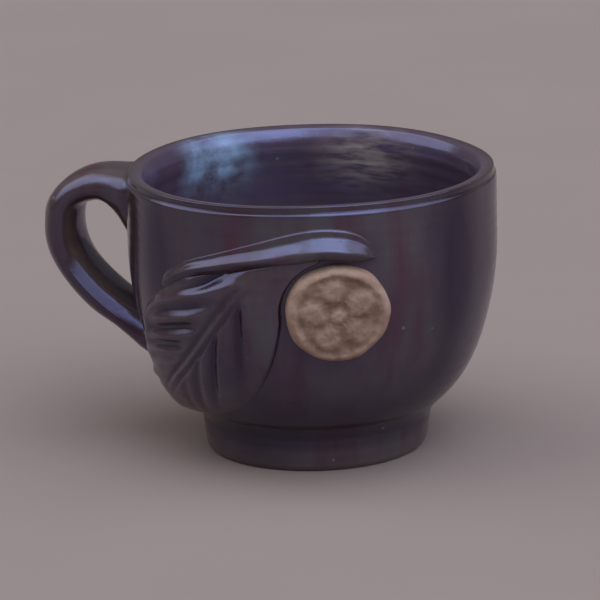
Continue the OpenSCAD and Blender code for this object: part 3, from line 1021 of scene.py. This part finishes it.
def build_medallion():
    x, y, z, r = button_shape()
    on_face = fading(BUTTON_FLAT_R, BUTTON_R, r)
    dents = clay_dents(x, y) * on_face
    grain = clay_grain(x, y, z)
    dome = BUTTON_DOME * np.cos(np.clip(r / BUTTON_R, 0, 1) * np.pi / 2) * on_face
    z = z + dome - dents + GRAIN_D * grain * smooth(*GRAIN_ZONE, z)
    across, up = medallion_place() + BUTTON_LIFT
    lean = lean_at(max(0, -up) / RIM_R)
    stand = Matrix.Rotation(across / RIM_R, 3, "Z") @ Matrix.Rotation(np.pi / 2 + lean, 3, "X")
    points = np.stack([x, y, z], axis=-1) @ np.array(stand).T + on_bowl(across, up, 0.0)
    return tube_object("clay_medallion", points, pit=np.clip(dents / PIT_D - PIT_GRAIN * grain, 0, 1))


class Shader:
    """A material's node tree, with short ways to add and join nodes."""

    def __init__(self, name):
        self.material = bpy.data.materials.new(name)
        self.material.use_nodes = True
        self.tree = self.material.node_tree
        self.surface = self.tree.nodes["Principled BSDF"]
        coordinates = self.tree.nodes.new("ShaderNodeTexCoord")
        self.place = coordinates.outputs["Object"]

    def add(self, kind, **settings):
        node = self.tree.nodes.new(kind)
        for key, value in settings.items():
            setattr(node, key, value)
        return node

    def join(self, value, socket):
        """Set a socket to a number or colour, or link it to another socket."""
        if isinstance(value, bpy.types.NodeSocket):
            self.tree.links.new(value, socket)
        elif isinstance(value, (tuple, list)) and len(value) == 3 and socket.type == "RGBA":
            socket.default_value = (*value, 1)
        else:
            socket.default_value = value

    def noise(self, per_mm, detail, rough=0.55, stretch=(1, 1, 1)):
        shape = self.add("ShaderNodeMapping")
        self.join(self.place, shape.inputs["Vector"])
        shape.inputs["Scale"].default_value = stretch
        node = self.add("ShaderNodeTexNoise")
        self.join(shape.outputs["Vector"], node.inputs["Vector"])
        node.inputs["Scale"].default_value = per_mm / MM
        node.inputs["Detail"].default_value = detail
        node.inputs["Roughness"].default_value = rough
        return node.outputs["Fac"]

    def cells(self, per_mm):
        """Distance to the nearest of scattered points, and a random tint for each."""
        node = self.add("ShaderNodeTexVoronoi")
        self.join(self.place, node.inputs["Vector"])
        node.inputs["Scale"].default_value = per_mm / MM
        return node.outputs["Distance"], node.outputs["Color"]

    def layer(self, name):
        """A mesh's own value at each point, or 0 where the mesh has no such layer."""
        return self.add("ShaderNodeAttribute", attribute_name=name).outputs["Fac"]

    def remap(self, value, low, high, to_low=0.0, to_high=1.0):
        node = self.add("ShaderNodeMapRange")
        for key, number in zip(("From Min", "From Max", "To Min", "To Max"), (low, high, to_low, to_high)):
            node.inputs[key].default_value = number
        self.join(value, node.inputs["Value"])
        return node.outputs["Result"]

    def clouds(self, per_mm, detail, low, high, most=1.0, stretch=(1, 1, 1)):
        """Soft noise as a share: 0 below one value of the noise, rising to the most at another."""
        return self.remap(self.noise(per_mm, detail, stretch=stretch), low, high, to_high=most)

    def times(self, a, b):
        node = self.add("ShaderNodeMath", operation="MULTIPLY")
        self.join(a, node.inputs[0])
        self.join(b, node.inputs[1])
        return node.outputs["Value"]

    def mix(self, share, a, b):
        node = self.add("ShaderNodeMix", data_type="RGBA")
        self.join(share, node.inputs["Factor"])
        self.join(a, node.inputs["A"])
        self.join(b, node.inputs["B"])
        return node.outputs["Result"]

    def bump(self, height, depth_mm, strength, under=None):
        node = self.add("ShaderNodeBump")
        node.inputs["Strength"].default_value = strength
        node.inputs["Distance"].default_value = depth_mm * MM
        self.join(height, node.inputs["Height"])
        if under is not None:
            self.join(under, node.inputs["Normal"])
        return node.outputs["Normal"]

    def set(self, **sockets):
        for key, value in sockets.items():
            self.join(value, self.surface.inputs[key.replace("_", " ")])


# Colours
# Deep colour of thick and pooled glaze, also used for painted shade
DEEP_GLAZE_AND_SHADE = (0.016, 0.004, 0.006)
GLAZE_DARK = (0.046, 0.028, 0.028)
GLAZE_BODY = (0.088, 0.064, 0.060)
GLAZE_RED = (0.066, 0.018, 0.020)
GLAZE_BROWN = (0.085, 0.058, 0.048)
GLAZE_INNER = (0.078, 0.051, 0.080)
GLAZE_GREY = (0.082, 0.068, 0.062)
# Painted sky reflection: a pale blue laid into the glaze inside
PAINTED_SKY_BLUE = (0.36, 0.54, 0.77)
GLAZE_ASH = (0.33, 0.262, 0.232)
GLAZE_LUSTRE = (0.48, 0.54, 1.0)
SPECK = (0.30, 0.29, 0.33)
CLAY_DARK = (0.140, 0.075, 0.047)
CLAY_BODY = (0.300, 0.182, 0.126)
CLAY_PALE = (0.395, 0.262, 0.195)
FLOOR_PALE = (0.27, 0.207, 0.184)
FLOOR_SHADE = 0.96
FLOOR_DARK = tuple(c * FLOOR_SHADE for c in FLOOR_PALE)

# Shares of layers and patterns in the glaze and the clay
INNER_SHARE = 0.8
BREAK_LEAST = 0.35
BREAK_MOST = 0.9
SPECK_SHARE = 0.3
PIT_SHARE = 0.75
GRAIN_SHARE = 0.5

# Gloss
GLAZE_IOR = 1.85
GLAZE_ROUGH = (0.13, 0.20)
CLAY_ROUGH = (0.62, 0.85)
FLOOR_ROUGH = 0.9
FLOOR_SPECULAR = 0.2


def glaze_colour(shader, mottle, speck):
    """Clouded dark glaze with grey bands and red flows, a painted sky reflection and ash patches inside,
    painted shade on the lip, low down, in dark reflection bands and by the medallion, and brown where it is
    thin.
    """
    cloud = shader.clouds(per_mm=0.05, detail=5, low=0.38, high=0.66)
    bands = shader.clouds(per_mm=0.07, detail=3, low=0.48, high=0.66, most=0.7, stretch=(1, 1, 0.25))
    flow = shader.clouds(per_mm=0.13, detail=4, low=0.48, high=0.66, most=0.85, stretch=(1, 1, 0.15))
    uneven = shader.clouds(per_mm=0.16, detail=5, low=0.34, high=0.64)
    streak = shader.clouds(per_mm=0.2, detail=4, low=0.32, high=0.6, stretch=(1, 1, 5))
    breaking = shader.remap(mottle, 0, 1, BREAK_LEAST, BREAK_MOST)
    colour = shader.mix(cloud, GLAZE_DARK, GLAZE_BODY)
    for share, over in (
        (bands, GLAZE_GREY),
        (flow, GLAZE_RED),
        # Thick glaze on the handle's flats, the foot and the back runs; the same layer carries painted shade
        # on the lip and towards the bottom, and the painted dark reflection bands at the front sides
        (shader.layer("thick"), DEEP_GLAZE_AND_SHADE),
        (shader.times(shader.layer("inner"), INNER_SHARE), GLAZE_INNER),
        # Painted sky reflection inside
        (shader.times(shader.layer("painted_reflection"), uneven), PAINTED_SKY_BLUE),
        (shader.times(shader.layer("ash"), streak), GLAZE_ASH),
        (shader.times(shader.layer("thin"), breaking), GLAZE_BROWN),
        # Glaze pooled in the leaf's veins, and painted shade by the medallion
        (shader.layer("pool"), DEEP_GLAZE_AND_SHADE),
        (shader.layer("bare"), CLAY_BODY),
        (shader.times(speck, SPECK_SHARE), SPECK),
    ):
        colour = shader.mix(share, colour, over)
    return colour


def glaze_material():
    """Dark lustrous glaze that breaks brown where it runs thin, with fine specks and an uneven skin."""
    shader = Shader("dark_glaze")
    mottle = shader.clouds(per_mm=0.55, detail=4, low=0.35, high=0.7)
    near, tint = shader.cells(per_mm=0.22)
    chosen = shader.remap(tint, low=0.62, high=0.64)
    speck = shader.times(shader.remap(near, low=0.05, high=0.09, to_low=1, to_high=0), chosen)
    waves = shader.bump(shader.noise(per_mm=0.4, detail=2), depth_mm=0.14, strength=0.35)
    peel = shader.bump(shader.noise(per_mm=1.4, detail=3), depth_mm=0.05, strength=0.3, under=waves)
    skin = shader.bump(speck, depth_mm=0.05, strength=0.4, under=peel)
    rough = shader.remap(mottle, 0, 1, *GLAZE_ROUGH)
    shader.set(Base_Color=glaze_colour(shader, mottle, speck), Roughness=rough, Normal=skin)
    shader.set(IOR=GLAZE_IOR, Specular_Tint=GLAZE_LUSTRE)
    return shader.material


def clay_material():
    """Bare fired clay: dry, grainy, darker in the pressed hollows."""
    shader = Shader("bare_clay")
    cloud = shader.clouds(per_mm=0.18, detail=5, low=0.35, high=0.68)
    grain = shader.noise(per_mm=3.2, detail=5, rough=0.7)
    lumps = shader.noise(per_mm=1.1, detail=5, rough=0.6)
    colour = shader.mix(cloud, CLAY_BODY, CLAY_PALE)
    colour = shader.mix(shader.times(shader.layer("pit"), PIT_SHARE), colour, CLAY_DARK)
    colour = shader.mix(shader.remap(grain, low=0.62, high=0.8, to_high=GRAIN_SHARE), colour, CLAY_DARK)
    fine = shader.bump(grain, depth_mm=0.10, strength=0.5)
    skin = shader.bump(lumps, depth_mm=0.22, strength=0.5, under=fine)
    rough = shader.remap(grain, 0.3, 0.7, *CLAY_ROUGH)
    shader.set(Base_Color=colour, Roughness=rough, Normal=skin)
    return shader.material


def floor_material():
    shader = Shader("pale_floor")
    soft = shader.clouds(per_mm=0.02, detail=3, low=0.3, high=0.7)
    shader.set(Base_Color=shader.mix(soft, FLOOR_PALE, FLOOR_DARK))
    shader.set(Roughness=FLOOR_ROUGH, Specular_IOR_Level=FLOOR_SPECULAR)
    return shader.material


# Floor: half its width in metres
FLOOR_HALF = 4.0


def build_floor():
    mesh = bpy.data.meshes.new("floor")
    corners = [(x * FLOOR_HALF, y * FLOOR_HALF, 0) for x, y in ((-1, -1), (1, -1), (1, 1), (-1, 1))]
    mesh.from_pydata(corners, [], [(0, 1, 2, 3)])
    floor = bpy.data.objects.new("floor", mesh)
    bpy.context.scene.collection.objects.link(floor)
    mesh.materials.append(floor_material())


# Camera: the photograph's view in degrees and metres, with the middle of the foot at one pixel of a square
VIEW_AZIMUTH = 13.4
VIEW_ELEVATION = 16.92
VIEW_ROLL = math.radians(1.46)
VIEW_DISTANCE = 0.8
PIXELS = 600
FOCAL_PIXELS = 4408
FOOT_PIXEL = (316.8, 439.4)
SENSOR = 36.0
CLIP_NEAR = 0.01
CLIP_FAR = 20


def toward(azimuth, elevation):
    """Unit vector towards a place on the sky. Azimuth 0 is the front of the cup, and 90 its right."""
    a, e = math.radians(azimuth), math.radians(elevation)
    return Vector((math.sin(a) * math.cos(e), -math.cos(a) * math.cos(e), math.sin(e)))


def build_camera():
    a = math.radians(VIEW_AZIMUTH)
    back = toward(VIEW_AZIMUTH, VIEW_ELEVATION)
    level_right = Vector((math.cos(a), math.sin(a), 0))
    upright = back.cross(level_right)
    right = level_right * math.cos(VIEW_ROLL) - upright * math.sin(VIEW_ROLL)
    above = level_right * math.sin(VIEW_ROLL) + upright * math.cos(VIEW_ROLL)
    shift_x = (PIXELS / 2 - FOOT_PIXEL[0]) / FOCAL_PIXELS
    shift_y = (FOOT_PIXEL[1] - PIXELS / 2) / FOCAL_PIXELS
    backward = (back - right * shift_x - above * shift_y).normalized()
    right = (right - backward * right.dot(backward)).normalized()
    turn = Matrix((right, backward.cross(right), backward)).transposed().to_4x4()
    data = bpy.data.cameras.new("photo_view")
    data.sensor_width = SENSOR
    data.lens = SENSOR * FOCAL_PIXELS / PIXELS
    data.clip_start = CLIP_NEAR
    data.clip_end = CLIP_FAR
    camera = bpy.data.objects.new("photo_view", data)
    camera.matrix_world = Matrix.Translation(back * VIEW_DISTANCE) @ turn
    bpy.context.scene.collection.objects.link(camera)
    bpy.context.scene.camera = camera


# Round lights on a dim sky: azimuth and elevation in degrees, cosines at the edge and the full middle, colour
SKY_LOW = (0.14, 0.13, 0.13)
SKY_LIGHTS = (
    (13, 70, 0.77, 0.93, (1.20, 1.37, 1.64)),
    (80, 55, 0.68, 0.90, (1.20, 1.35, 1.60)),
    (40, 36, 0.88, 0.96, (0.90, 1.00, 1.20)),
    (-85, 45, 0.80, 0.95, (1.45, 1.50, 1.60)),
)


def build_light():
    """A soft studio sky: dim all round, with large round lights above the camera and to both sides."""
    world = bpy.data.worlds.new("studio")
    world.use_nodes = True
    tree = world.node_tree
    place = tree.nodes.new("ShaderNodeTexCoord").outputs["Generated"]
    total = tree.nodes.new("ShaderNodeRGB").outputs["Color"]
    total.default_value = (*SKY_LOW, 1)
    for azimuth, elevation, edge, full, colour in SKY_LIGHTS:
        along = tree.nodes.new("ShaderNodeVectorMath")
        along.operation = "DOT_PRODUCT"
        along.inputs[1].default_value = toward(azimuth, elevation)
        tree.links.new(place, along.inputs[0])
        share = tree.nodes.new("ShaderNodeMapRange")
        share.interpolation_type = "SMOOTHSTEP"
        share.inputs["From Min"].default_value = edge
        share.inputs["From Max"].default_value = full
        tree.links.new(along.outputs["Value"], share.inputs["Value"])
        add = tree.nodes.new("ShaderNodeMix")
        add.data_type = "RGBA"
        add.blend_type = "ADD"
        add.inputs["B"].default_value = (*colour, 1)
        tree.links.new(share.outputs["Result"], add.inputs["Factor"])
        tree.links.new(total, add.inputs["A"])
        total = add.outputs["Result"]
    tree.links.new(total, tree.nodes["Background"].inputs["Color"])
    bpy.context.scene.world = world


def dress(piece, material, node):
    """Give a piece its material, and say which CAD node it replaces."""
    piece.data.materials.append(material)
    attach(piece, "root")
    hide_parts(node)


def main():
    glaze, clay = glaze_material(), clay_material()
    dress(build_bowl(), glaze, "bowl")
    dress(build_foot_ring(), glaze, "foot_ring")
    dress(build_handle(), glaze, "handle")
    dress(build_leaf(), glaze, "leaf")
    dress(build_stem(), glaze, "stem")
    dress(build_medallion(), clay, "medallion")
    build_floor()
    build_camera()
    build_light()
    bpy.context.scene.view_settings.view_transform = "Standard"


main()
